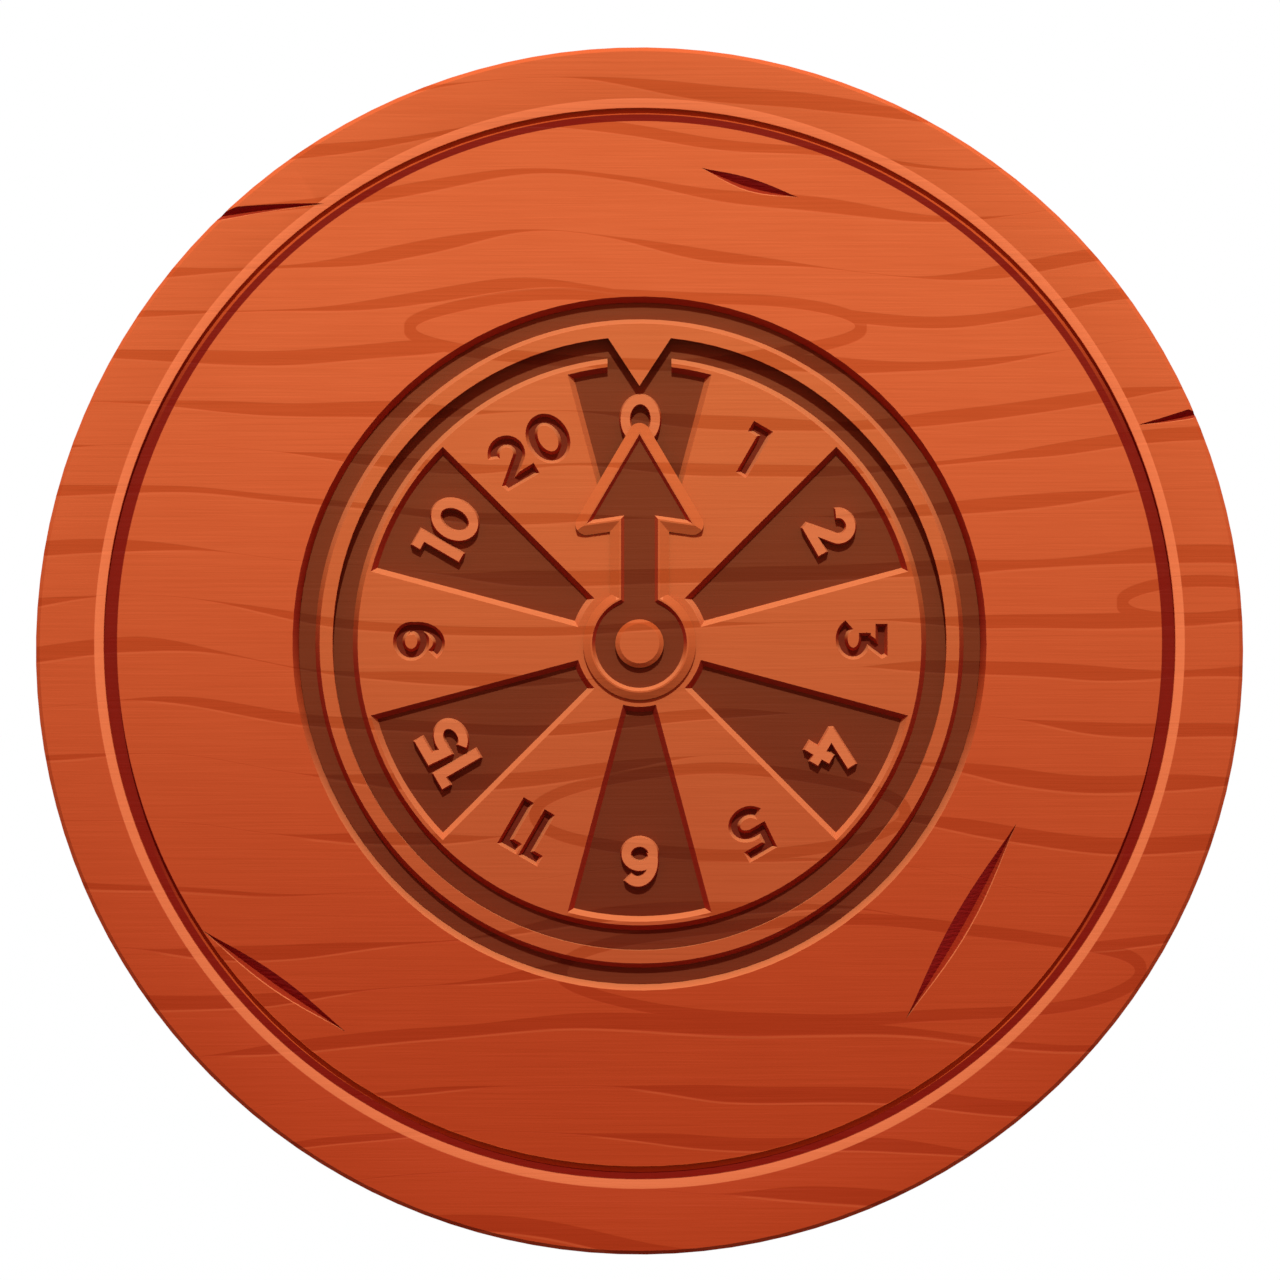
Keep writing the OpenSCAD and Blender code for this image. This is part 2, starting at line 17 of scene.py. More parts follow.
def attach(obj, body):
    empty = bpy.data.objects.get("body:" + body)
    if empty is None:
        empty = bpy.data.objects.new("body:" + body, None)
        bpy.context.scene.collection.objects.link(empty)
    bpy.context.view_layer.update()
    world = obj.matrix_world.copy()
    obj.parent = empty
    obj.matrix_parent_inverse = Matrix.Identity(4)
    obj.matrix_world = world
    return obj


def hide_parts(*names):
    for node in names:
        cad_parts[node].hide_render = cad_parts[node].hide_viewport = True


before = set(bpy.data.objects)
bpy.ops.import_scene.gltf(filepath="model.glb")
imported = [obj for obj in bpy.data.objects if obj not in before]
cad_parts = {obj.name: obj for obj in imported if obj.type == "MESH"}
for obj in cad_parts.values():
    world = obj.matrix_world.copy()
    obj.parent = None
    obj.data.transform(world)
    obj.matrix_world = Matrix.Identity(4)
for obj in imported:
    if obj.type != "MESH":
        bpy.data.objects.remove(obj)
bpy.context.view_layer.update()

LOG = logging.getLogger("game_wheel")
MM = 0.001
JOIN_GAP = 1e-7
RECESS = "recess_wall"
Colour = tuple[float, float, float, float]
Point = tuple[float, float]
Range = tuple[float, float]


def srgb(red: int, green: int, blue: int) -> Colour:
    """Turn a colour as seen on a screen into Blender's linear values.

    Args:
        red: Red from 0 to 255.
        green: Green from 0 to 255.
        blue: Blue from 0 to 255.

    Returns:
        The linear colour with full alpha.
    """
    parts = [value / 255 for value in (red, green, blue)]
    linear = [part / 12.92 if part <= 0.04045 else ((part + 0.055) / 1.055) ** 2.4 for part in parts]
    return (linear[0], linear[1], linear[2], 1.0)


class Slot(str, Enum):
    """Material slots of the record."""

    BOARD = "board_wood"
    WHEEL = "wheel_wood"
    HAND = "hand_wood"
    BATTEN = "batten_wood"
    STEEL = "steel"
    BRASS = "brass"
    FIBRE = "fibre"


class Body(str, Enum):
    """Bodies that the pieces move with."""

    BOARD = "board"
    WHEEL = "wheel"
    HAND = "hand"


class Relief(Enum):
    """How a numeral stands on its sector."""

    RAISED = "raised"
    SUNK = "sunk"


class Carve(Enum):
    """What a tool does to a piece."""

    CUT = "DIFFERENCE"
    JOIN = "UNION"


class Signal:
    """A node's output socket that takes part in Python expressions."""

    def __init__(self, graph: "Graph", socket: NodeSocket) -> None:
        """Wrap a socket of a graph."""
        self.graph = graph
        self.socket = socket

    def of(self, name: str) -> "Signal":
        """Give another output of the same node."""
        return Signal(self.graph, self.socket.node.outputs[name])

    def _math(self, operation: str, *terms: "Value") -> "Signal":
        """Add a Math node on the given terms."""
        return self.graph.node("ShaderNodeMath", {"operation": operation}, dict(enumerate(terms)))

    def __add__(self, other: "Value") -> "Signal":
        """Sum."""
        return self._math("ADD", self, other)

    __radd__ = __add__

    def __sub__(self, other: "Value") -> "Signal":
        """Difference."""
        return self._math("SUBTRACT", self, other)

    def __rsub__(self, other: "Value") -> "Signal":
        """Difference, with the number first."""
        return self._math("SUBTRACT", other, self)

    def __mul__(self, other: "Value") -> "Signal":
        """Product."""
        return self._math("MULTIPLY", self, other)

    __rmul__ = __mul__

    def __truediv__(self, other: "Value") -> "Signal":
        """Quotient."""
        return self._math("DIVIDE", self, other)

    def __rtruediv__(self, other: "Value") -> "Signal":
        """Quotient, with the number first."""
        return self._math("DIVIDE", other, self)

    def __neg__(self) -> "Signal":
        """Opposite sign."""
        return self._math("MULTIPLY", self, -1.0)

    def __abs__(self) -> "Signal":
        """Size without its sign."""
        return self._math("ABSOLUTE", self)

    def root(self) -> "Signal":
        """Square root."""
        return self._math("SQRT", self)

    def fraction(self) -> "Signal":
        """What stands after the decimal point."""
        return self._math("FRACT", self)

    def floor(self) -> "Signal":
        """Next whole number below."""
        return self._math("FLOOR", self)

    def most(self, other: "Value") -> "Signal":
        """Larger of two values."""
        return self._math("MAXIMUM", self, other)

    def rise(self, low: "Value", high: "Value") -> "Signal":
        """Go smoothly from 0 at the low value to 1 at the high value."""
        settings = {"interpolation_type": "SMOOTHSTEP"}
        return self.graph.node("ShaderNodeMapRange", settings, {"Value": self, 1: low, 2: high})


Value = Union[Signal, float]
Paint = Union[Signal, Colour]
Settings = Optional[dict[str, object]]
Inputs = Optional[dict[Union[str, int], object]]


class Graph:
    """Nodes of one material, world or Geometry Nodes tree."""

    def __init__(self, owner: Union[Material, World, GeometryNodeTree]) -> None:
        """Start with no nodes.

        Args:
            owner: What the nodes belong to.
        """
        self.owner = owner
        self.tree = owner
        if isinstance(owner, (Material, World)):
            owner.use_nodes = True
            self.tree = owner.node_tree
        self.tree.nodes.clear()

    @classmethod
    def named(cls, name: str) -> "Graph":
        """Start a new material."""
        return cls(bpy.data.materials.new(name))

    def add(self, kind: str, settings: Settings = None, values: Inputs = None) -> Node:
        """Add a node to the tree.

        Args:
            kind: Blender's name of the node's type.
            settings: Properties of the node, which are set first.
            values: Numbers, colours or signals for its input sockets.

        Returns:
            The node.
        """
        made = self.tree.nodes.new(kind)
        for name, value in (settings or {}).items():
            setattr(made, name, value)
        for key, value in (values or {}).items():
            if isinstance(value, Signal):
                self.tree.links.new(value.socket, made.inputs[key])
            else:
                made.inputs[key].default_value = value
        return made

    def node(
        self, kind: str, settings: Settings = None, values: Inputs = None, out: Union[str, int] = 0
    ) -> Signal:
        """Add a node and give the chosen one of its outputs."""
        return Signal(self, self.add(kind, settings, values).outputs[out])

    def axes(self, source: str) -> list[Signal]:
        """Split an output of Texture Coordinate into its parts along X, Y and Z."""
        whole = self.node("ShaderNodeSeparateXYZ", values={0: self.node("ShaderNodeTexCoord", out=source)})
        return [whole.of(axis) for axis in "XYZ"]

    def place(self) -> list[Signal]:
        """Give the place on the object in millimetres."""
        return [part * (1 / MM) for part in self.axes("Object")]

    def facing(self) -> list[Signal]:
        """Give the direction that the surface faces, in the object's own axes."""
        return self.axes("Normal")

    def seen(self) -> Signal:
        """Tell rays that see the background: camera, glossy and transmission rays."""
        camera = self.node("ShaderNodeLightPath", out="Is Camera Ray")
        return camera.most(camera.of("Is Glossy Ray")).most(camera.of("Is Transmission Ray"))

    def mix(self, share: Value, first: Paint, second: Paint, blend: str = "MIX") -> Signal:
        """Mix two colours, the first at share 0 and the second at share 1."""
        settings = {"data_type": "RGBA", "blend_type": blend}
        return self.node("ShaderNodeMix", settings, {0: share, 6: first, 7: second}, out=2)

    def finish(
        self, colour: Paint, rough: Value, height: Optional[Signal] = None, depth: float = 0.0, **fixed: float
    ) -> Material:
        """Close the material with its surface shader.

        Args:
            colour: Base colour.
            rough: Roughness.
            height: Relief for the bump, from 0 to 1.
            depth: Depth of that relief in millimetres.
            fixed: Values of further shader sockets, with _ for each space.

        Returns:
            The finished material.
        """
        values = {"Base Color": colour, "Roughness": rough}
        values.update({name.replace("_", " "): value for name, value in fixed.items()})
        if height is not None:
            relief = {"Strength": 1.0, "Distance": depth * MM, "Height": height}
            values["Normal"] = self.node("ShaderNodeBump", values=relief)
        self.end(self.node("ShaderNodeBsdfPrincipled", values=values))
        return self.owner

    def end(self, shader: Signal, output: str = "ShaderNodeOutputMaterial") -> None:
        """Link a shader to the tree's output."""
        self.add(output, values={"Surface": shader})


@dataclass(frozen=True)
class Pattern:
    """Soft noise, with the size of its grain along each coordinate in millimetres."""

    sizes: tuple[float, ...]
    seed: float
    detail: float = 0.0

    def on(self, g: Graph, *spot: Signal) -> Signal:
        """Draw the noise.

        Args:
            g: Graph to add to.
            spot: One coordinate for each size.

        Returns:
            The noise from 0 to 1.
        """
        first, *others = [value / size for value, size in zip(spot, self.sizes)]
        where = g.node("ShaderNodeCombineXYZ", values=dict(enumerate([first + self.seed, *others])))
        values = {"Vector": where, "Scale": 1.0, "Detail": self.detail, "Roughness": 0.5}
        return g.node("ShaderNodeTexNoise", {"noise_dimensions": "3D"}, values)

    def sway(self, g: Graph, *spot: Signal) -> Signal:
        """Draw the noise from -1 to 1."""
        return (self.on(g, *spot) - 0.5) * 2.0


@dataclass(frozen=True)
class GrainLoop:
    """Closed line of the grain round a swirl. Sizes in millimetres from the wheel's axis."""

    x: float
    z: float
    half_width: float
    half_height: float


@dataclass(frozen=True)
class Grain:
    """Figure of the wood: dark lines along X that wander, swell and fade, a few loops, and a painted
    highlight under each line.
    """

    spacing: float = 26.0
    half_line: float = 3.6
    loop_line: float = 2.88
    wander: float = 24.0
    ripple: float = 4.0
    spread: float = 7.0
    soft: float = 0.35
    grain_highlight_width: float = 0.6
    row_step: float = 5.7
    line_life: Range = (0.36, 0.6)
    grain_highlight_life: Range = (0.1, 0.3)
    loop_clear: float = 20.0
    swells: Pattern = Pattern((210.0, 240.0), 11.7)
    ripples: Pattern = Pattern((95.0, 60.0), 3.1)
    spreads: Pattern = Pattern((60.0,), 5.3)
    lives: Pattern = Pattern((150.0, 1.0), 21.0)
    loops: tuple[GrainLoop, ...] = (
        GrainLoop(-2.0, 156.0, 112.0, 17.0),
        GrainLoop(105.0, -163.0, 144.0, 24.0),
        GrainLoop(40.0, -84.0, 92.0, 20.0),
        GrainLoop(278.0, 21.0, 38.0, 9.0),
    )

    def draw_loop(self, x: Signal, z: Signal, loop: GrainLoop) -> tuple[Signal, Signal]:
        """Draw one loop.

        Args:
            x: Place along X.
            z: Place along Z.
            loop: The loop.

        Returns:
            How far inside the loop's line a point is, in millimetres, and whether it is inside the loop.
        """
        across = (x - loop.x) / loop.half_width
        up = (z - loop.z) / loop.half_height
        reach = (across * across + up * up).root()
        lean_x, lean_z = across / loop.half_width, up / loop.half_height
        steep = (lean_x * lean_x + lean_z * lean_z).root() / reach
        return self.loop_line - abs(reach - 1.0) / steep, 1.0 - reach.rise(0.9, 1.0)

    def figure(self, g: Graph, x: Signal, z: Signal) -> tuple[Signal, Signal]:
        """Draw the whole figure.

        Args:
            g: Graph to add to.
            x: Place along X in millimetres.
            z: Place along Z in millimetres.

        Returns:
            Masks of the dark lines and of the painted highlight, a thin pale edge under each line.
        """
        ripple = self.ripples.sway(g, x, z) * self.ripple
        level = z + self.swells.sway(g, x, z) * self.wander + ripple
        level = level + self.spreads.sway(g, level) * self.spread
        turns = level / self.spacing
        offset = (turns.fraction() - 0.5) * self.spacing
        life = self.lives.on(g, x, turns.floor() * self.row_step).rise(*self.line_life)
        half = life * self.half_line
        depth = half - abs(offset)
        # Painted highlight: a thin pale line along the lower edge of each dark line.
        painted_grain_highlight = (self.grain_highlight_width - abs(offset + half + self.grain_highlight_width)).rise(0.0, self.soft)
        painted_grain_highlight = painted_grain_highlight * life.rise(*self.grain_highlight_life)
        for loop in self.loops:
            line, inside = self.draw_loop(x, z + ripple, loop)
            depth = (depth - inside * self.loop_clear).most(line)
            painted_grain_highlight = painted_grain_highlight * (1 - inside)
        return depth.rise(-self.soft, self.soft), painted_grain_highlight


@dataclass(frozen=True)
class RimGroove:
    """Groove painted dark as painted shade, brighter where its real shadow falls as painted light, with a
    pale bevel outside it as a painted highlight, darker towards the bottom. Radii and heights in millimetres.
    """

    inner_r: float = 259.7
    outer_r: float = 266.2
    bevel_r: float = 270.9
    front: Range = (56.0, 57.0)
    # The groove's dark colour is painted shade; the brighter one is painted light, laid where its real shadow
    # falls.
    painted_shade_groove: Colour = srgb(124, 14, 2)
    painted_light_groove: Colour = srgb(206, 80, 30)
    shaded: Range = (0.35, 0.75)
    lamp_up: float = 0.66
    lamp_front: float = 0.75
    lit: Range = (0.1, 0.6)
    bevel: Colour = srgb(246, 130, 80)
    painted_highlight_bevel_low: Colour = srgb(214, 112, 68)
    groove_share: float = 0.96
    bevel_share: float = 0.9


@dataclass(frozen=True)
class CarvedWood:
    """Red-brown oiled wood with a figure and dark stain in its recesses, with painted light and shade:
    lighter towards the top, a painted highlight under the grain lines and on carved walls that face up, and
    painted shade on carved walls that face down.
    """

    name: str
    floor_height: float = 0.0
    recess_only: bool = False
    stain_limit_r: float = 275.0
    rim: Optional[RimGroove] = None
    numeral_height: float = 0.0
    span: float = 250.0
    # top and low are painted light: the wood is lighter towards the top and darker towards the bottom, as if
    # lit from above.
    top: Colour = srgb(215, 103, 55)
    low: Colour = srgb(172, 60, 24)
    line_tint: Colour = (0.81, 0.63, 0.44, 1.0)
    painted_grain_highlight: Colour = srgb(222, 116, 70)
    stain_tint: Colour = (0.33, 0.28, 0.27, 1.0)
    pale_wear_and_highlight: Colour = srgb(220, 124, 76)
    shade: Colour = srgb(160, 44, 28)
    level_facing: Range = (0.9, 0.97)
    painted_highlight_facing: Range = (0.1, 0.45)
    shade_facing: Range = (-0.1, 0.2)
    carved_height: Range = (50.0, 52.0)
    streaks: Pattern = Pattern((60.0, 1.6, 40.0), 2.0, 2.0)
    mottles: Pattern = Pattern((38.0, 20.0, 30.0), 8.0, 2.0)
    line_share: float = 0.9
    grain_highlight_share: float = 0.16
    painted_highlight_share: float = 0.85
    shade_share: float = 0.95
    numeral_share: float = 0.6
    grain: Grain = Grain()

    def material(self) -> Material:
        """Build the finish.

        Returns:
            The material.
        """
        g = Graph.named(self.name)
        x, y, z = g.place()
        _, face_y, face_z = g.facing()
        height = -y
        radius = (x * x + z * z).root()
        line, painted_grain_highlight = self.grain.figure(g, x, z)
        streak = self.streaks.on(g, x, z, y)
        mottle = self.mottles.on(g, x, z, y)
        flecks = (streak - 0.5) * 0.4 + (mottle - 0.5) * 0.3 + 0.1
        # Painted light: lighter towards the top, darker towards the bottom.
        colour = g.mix(z.rise(-self.span, self.span), self.low, self.top)
        colour = g.mix(flecks, colour, self.line_tint, "MULTIPLY")
        colour = g.mix(line * self.line_share, colour, self.line_tint, "MULTIPLY")
        # Painted highlight under the grain lines.
        colour = g.mix(painted_grain_highlight * self.grain_highlight_share, colour, self.painted_grain_highlight)
        level = (-face_y).rise(*self.level_facing)
        carved = (1 - level) * (1 - radius.rise(self.stain_limit_r, self.stain_limit_r + 2))
        carved = carved * height.rise(*self.carved_height)
        if self.recess_only:
            carved = carved * g.node("ShaderNodeAttribute", {"attribute_name": RECESS}, out="Fac")
        # Painted highlight on carved walls that face up, painted shade on carved walls that face down.
        lit = face_z.rise(*self.painted_highlight_facing) * self.painted_highlight_share
        unlit = (1 - face_z.rise(*self.shade_facing)) * self.shade_share
        colour = g.mix(carved * lit, colour, self.pale_wear_and_highlight)
        colour = g.mix(carved * unlit, colour, self.shade)
        floors = level * (self.floor_height - height).rise(-0.4, 0.1)
        colour = g.mix(floors, colour, self.stain_tint, "MULTIPLY")
        # Raised numeral tops are painted paler with the same pale.
        if self.numeral_height:
            tops = level * (0.25 - abs(height - self.numeral_height)).rise(0.0, 0.1)
            colour = g.mix(tops * self.numeral_share, colour, self.pale_wear_and_highlight)
        if self.rim:
            colour = self.paint_rim(g, colour, height, x, z)
        rough = 0.58 + (streak - 0.5) * 0.18 + line * 0.05
        relief = streak * 0.6 + mottle * 0.2 - line * 0.2
        return g.finish(colour, rough, relief, 0.25, Specular_IOR_Level=0.08)

    def paint_rim(self, g: Graph, colour: Signal, height: Signal, x: Signal, z: Signal) -> Signal:
        """Paint the rim groove dark as painted shade and its bevel pale as a painted highlight.

        Args:
            g: Graph to add to.
            colour: Colour so far.
            height: Height above the wall in millimetres.
            x: Place along X in millimetres.
            z: Place along Z in millimetres.

        Returns:
            The colour with the rim.
        """
        rim = self.rim
        radius = (x * x + z * z).root()
        front = height.rise(*rim.front)
        past_groove = radius.rise(rim.outer_r - 0.1, rim.outer_r + 0.3)
        in_groove = radius.rise(rim.inner_r - 0.4, rim.inner_r) * (1 - past_groove)
        on_bevel = past_groove * (1 - radius.rise(rim.bevel_r - 0.3, rim.bevel_r + 0.2))
        middle = (rim.inner_r + rim.outer_r) / 2
        outer_wall = radius.rise(middle - 0.5, middle + 0.5) * 2 - 1
        _, face_y, face_z = g.facing()
        # Painted light where real shade and shadow fall on the groove, so that it reads evenly dark.
        lit = (face_z * rim.lamp_up - face_y * rim.lamp_front).rise(*rim.lit)
        shaded = (outer_wall * z / radius).rise(*rim.shaded).most(1 - lit)
        painted_shade_groove = g.mix(shaded, rim.painted_shade_groove, rim.painted_light_groove)
        colour = g.mix(in_groove * front * rim.groove_share, colour, painted_shade_groove)
        # Painted highlight on the bevel, darker towards the bottom.
        bevel = g.mix(z.rise(-self.span, self.span), rim.painted_highlight_bevel_low, rim.bevel)
        return g.mix(on_bevel * front * rim.bevel_share, colour, bevel)


@dataclass(frozen=True)
class SplitWood:
    """Raw dark wood inside a drying split, with painted shade on walls that face down and a painted highlight
    along the lip of walls that face up.
    """

    name: str = "split_wood"
    split_painted_shade: Colour = srgb(140, 24, 20)
    bare_lit_wall: Colour = srgb(162, 46, 20)
    split_painted_highlight: Colour = srgb(226, 126, 78)
    lit_facing: Range = (-0.05, 0.2)
    lip_height: Range = (62.9, 63.6)
    fibres: Pattern = Pattern((18.0, 1.2, 3.0), 4.0, 3.0)

    def material(self) -> Material:
        """Build the finish.

        Returns:
            The material.
        """
        g = Graph.named(self.name)
        x, y, z = g.place()
        fibre = self.fibres.on(g, x, z, y)
        _, _, face_z = g.facing()
        lit = face_z.rise(*self.lit_facing)
        near_top = (-y + (fibre - 0.5) * 0.6).rise(*self.lip_height)
        # Painted shade on walls that face down, a lit copy on walls that face up, and a painted highlight
        # along their lip.
        colour = g.mix(lit, self.split_painted_shade, self.bare_lit_wall)
        colour = g.mix(near_top * lit * 0.9, colour, self.split_painted_highlight)
        return g.finish(colour, 0.75 + (fibre - 0.5) * 0.2, fibre, 0.6, Specular_IOR_Level=0.1)


@dataclass(frozen=True)
class PlanedWood:
    """Bare planed wood of the battens, with its grain upright."""

    name: str = "planed_batten_wood"
    pale: Colour = srgb(196, 142, 92)
    dark: Colour = srgb(150, 98, 58)
    ring_spacing: float = 5.5
    ring_wander: float = 26.0
    wanders: Pattern = Pattern((30.0, 30.0, 160.0), 6.0, 1.0)
    fine_pores: Pattern = Pattern((1.1, 1.1, 22.0), 9.0, 2.0)

    def material(self) -> Material:
        """Build the finish.

        Returns:
            The material.
        """
        g = Graph.named(self.name)
        x, y, z = g.place()
        wander = self.wanders.on(g, x, y, z) * self.ring_wander
        rings = ((x + y * 0.6 + wander) / self.ring_spacing).fraction()
        pores = self.fine_pores.on(g, x, y, z)
        late = rings.rise(0.35, 0.9) * (1 - rings.rise(0.93, 1.0))
        colour = g.mix(late * 0.6 + (pores - 0.5) * 0.5, self.pale, self.dark)
        return g.finish(colour, 0.66 + (pores - 0.5) * 0.2, pores - late * 0.3, 0.2, Specular_IOR_Level=0.2)


@dataclass(frozen=True)
class TurnedMetal:
    """Lathe-turned metal with fine rings round the spindle's axis and a little tarnish."""

    name: str
    bright: Colour
    dull: Colour
    smooth: float = 0.28
    lathe_rings: Pattern = Pattern((0.25, 0.25), 1.0, 1.0)
    spots: Pattern = Pattern((7.0, 7.0, 7.0), 7.0, 3.0)
    spot_range: Range = (0.42, 0.7)

    def material(self) -> Material:
        """Build the finish.

        Returns:
            The material.
        """
        g = Graph.named(self.name)
        x, y, z = g.place()
        radius = (x * x + z * z).root()
        rings = self.lathe_rings.on(g, radius, y)
        tarnish = self.spots.on(g, x, y, z).rise(*self.spot_range)
        colour = g.mix(tarnish * 0.4 + (rings - 0.5) * 0.3, self.bright, self.dull)
        rough = self.smooth + tarnish * 0.12 + (rings - 0.5) * 0.16
        return g.finish(colour, rough, rings, 0.02, Metallic=1.0)


@dataclass(frozen=True)
class PressedFibre:
    """Pressed fibre of the washers, with short flecks."""

    name: str = "pressed_fibre"
    body: Colour = srgb(112, 52, 36)
    fleck: Colour = srgb(150, 84, 62)
    short_flecks: Pattern = Pattern((0.9, 0.3, 0.5), 3.0, 2.0)
    clouds: Pattern = Pattern((5.0, 5.0, 5.0), 5.0, 1.0)

    def material(self) -> Material:
        """Build the finish.

        Returns:
            The material.
        """
        g = Graph.named(self.name)
        x, y, z = g.place()
        flecks = self.short_flecks.on(g, x, y, z)
        cloud = self.clouds.on(g, x, y, z)
        colour = g.mix(flecks.rise(0.5, 0.72) * 0.6 + cloud * 0.2, self.body, self.fleck)
        return g.finish(colour, 0.7 + (cloud - 0.5) * 0.2, flecks, 0.05)


class Workshop:
    """Makes and joins meshes, and seats pieces on the frame."""

    @staticmethod
    def stand(x: float, y: float, height: float) -> Vector:
        """Turn a place on the dial, in millimetres, into the frame's metres."""
        return Vector((x * MM, -height * MM, y * MM))

    @staticmethod
    def cad_copy(node: str, name: str) -> Object:
        """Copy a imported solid's mesh with its triangles joined.

        Args:
            node: Node to copy.
            name: Name of the new piece.

        Returns:
            The new piece, with no material.
        """
        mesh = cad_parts[node].data.copy()
        mesh.materials.clear()
        normals = mesh.attributes.get("custom_normal")
        if normals:
            mesh.attributes.remove(normals)
        work = bmesh.new()
        work.from_mesh(mesh)
        bmesh.ops.remove_doubles(work, verts=work.verts, dist=JOIN_GAP)
        work.to_mesh(mesh)
        work.free()
        return Workshop.link(name, mesh)

    @staticmethod
    def link(name: str, mesh: Mesh) -> Object:
        """Put a mesh into the scene as an object at the origin.

        Args:
            name: Name of the object.
            mesh: Its mesh.

        Returns:
            The object.
        """
        piece = bpy.data.objects.new(name, mesh)
        bpy.context.collection.objects.link(piece)
        return piece

    @staticmethod
    def solid(name: str, work: BMesh) -> Object:
        """Close a mesh under construction, faces outwards, and link it.

        Args:
            name: Name of the piece.
            work: Mesh under construction, which is freed.

        Returns:
            The new piece.
        """
        bmesh.ops.recalc_face_normals(work, faces=work.faces)
        mesh = bpy.data.meshes.new(name)
        work.to_mesh(mesh)
        work.free()
        return Workshop.link(name, mesh)

    @staticmethod
    def prism(name: str, rows: list[list[Vector]]) -> Object:
        """Skin a row of like sections and close its ends.

        Args:
            name: Name of the piece.
            rows: Corners of each section, in the same order.

        Returns:
            The new piece.
        """
        work = bmesh.new()
        rings = [[work.verts.new(corner) for corner in row] for row in rows]
        for near, far in zip(rings, rings[1:]):
            for a in range(len(near)):
                b = (a + 1) % len(near)
                work.faces.new((near[a], near[b], far[b], far[a]))
        work.faces.new(rings[0])
        work.faces.new(rings[-1])
        return Workshop.solid(name, work)

    @staticmethod
    def combine(piece: Object, tool: Object, carve: Carve) -> None:
        """Cut a tool out of a piece or join it on, and drop the tool.

        Args:
            piece: Piece that is changed.
            tool: Tool, whose materials go to the faces that it makes.
            carve: Cut or join.
        """
        modifier = piece.modifiers.new("carve", "BOOLEAN")
        modifier.operation = carve.value
        modifier.solver = "EXACT"
        modifier.use_self = True
        modifier.material_mode = "TRANSFER"
        modifier.object = tool
        Workshop.settle(piece)
        bpy.data.objects.remove(tool)

    @staticmethod
    def settle(piece: Object) -> None:
        """Turn a piece with its modifiers into a plain mesh.

        Args:
            piece: Piece that is changed.
        """
        graph = bpy.context.evaluated_depsgraph_get()
        mesh = bpy.data.meshes.new_from_object(piece.evaluated_get(graph))
        piece.modifiers.clear()
        piece.data = mesh

    @staticmethod
    def smooth(piece: Object, degrees: float = 28.0) -> None:
        """Shade a piece smoothly with sharp edges kept."""
        piece.data.shade_smooth()
        piece.data.set_sharp_from_angle(angle=math.radians(degrees))

    @staticmethod
    def seat(piece: Object, body: Body, slot: Slot, *nodes: str) -> None:
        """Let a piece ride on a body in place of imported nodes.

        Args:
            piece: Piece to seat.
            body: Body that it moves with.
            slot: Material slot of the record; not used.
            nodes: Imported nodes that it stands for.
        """
        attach(piece, body.value)
        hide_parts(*nodes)
        LOG.info("%s rides on %s, %d faces", piece.name, body.value, len(piece.data.polygons))

    @staticmethod
    def dress(node: str, material: Material) -> None:
        """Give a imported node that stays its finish.

        Args:
            node: The node.
            material: Its finish.
        """
        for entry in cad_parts[node].material_slots:
            entry.link = "DATA"
            entry.material = material
        LOG.info("%s keeps its solid in %s", node, material.name)


@dataclass(frozen=True)
class Stroke:
    """Middle line of one stroke of a numeral, in millimetres."""

    points: tuple[Point, ...]
    closed: bool = False
    sharpest: float = 0.6
    longest: float = 0.38
    blunt: float = 0.8

    def sides(self, half: float, past: float) -> tuple[list[Point], list[Point]]:
        """Find both edges of the stroke.

        Args:
            half: Half the stroke's width.
            past: How far an open end is drawn out.

        Returns:
            Points of the left and the right edge.
        """
        line = [Vector(point) for point in self.points]
        if not self.closed:
            line[0] = line[0] - (line[1] - line[0]).normalized() * past
            line[-1] = line[-1] + (line[-1] - line[-2]).normalized() * past
        left: list[Point] = []
        right: list[Point] = []
        count = len(line)
        for i, spot in enumerate(line):
            before = line[i - 1] if self.closed or i else None
            after = line[(i + 1) % count] if self.closed or i < count - 1 else None
            ways = [(spot - before).normalized()] if before is not None else []
            ways += [(after - spot).normalized()] if after is not None else []
            normals = [Vector((-way.y, way.x)) for way in ways]
            mitre = sum(normals, Vector((0.0, 0.0))).normalized()
            lean = mitre.dot(normals[0])
            shift = mitre * (half / max(lean, self.longest))
            if lean >= self.sharpest:
                left.append(tuple(spot + shift))
                right.append(tuple(spot - shift))
                continue
            turn = math.copysign(1.0, ways[0].x * ways[1].y - ways[0].y * ways[1].x)
            inner, outer = (left, right) if turn > 0 else (right, left)
            for way, normal in ((ways[0], normals[0]), (-ways[1], normals[1])):
                inner.append(tuple(spot + shift * turn))
                outer.append(tuple(spot - normal * (half * turn) + way * (half * self.blunt)))
        return left, right


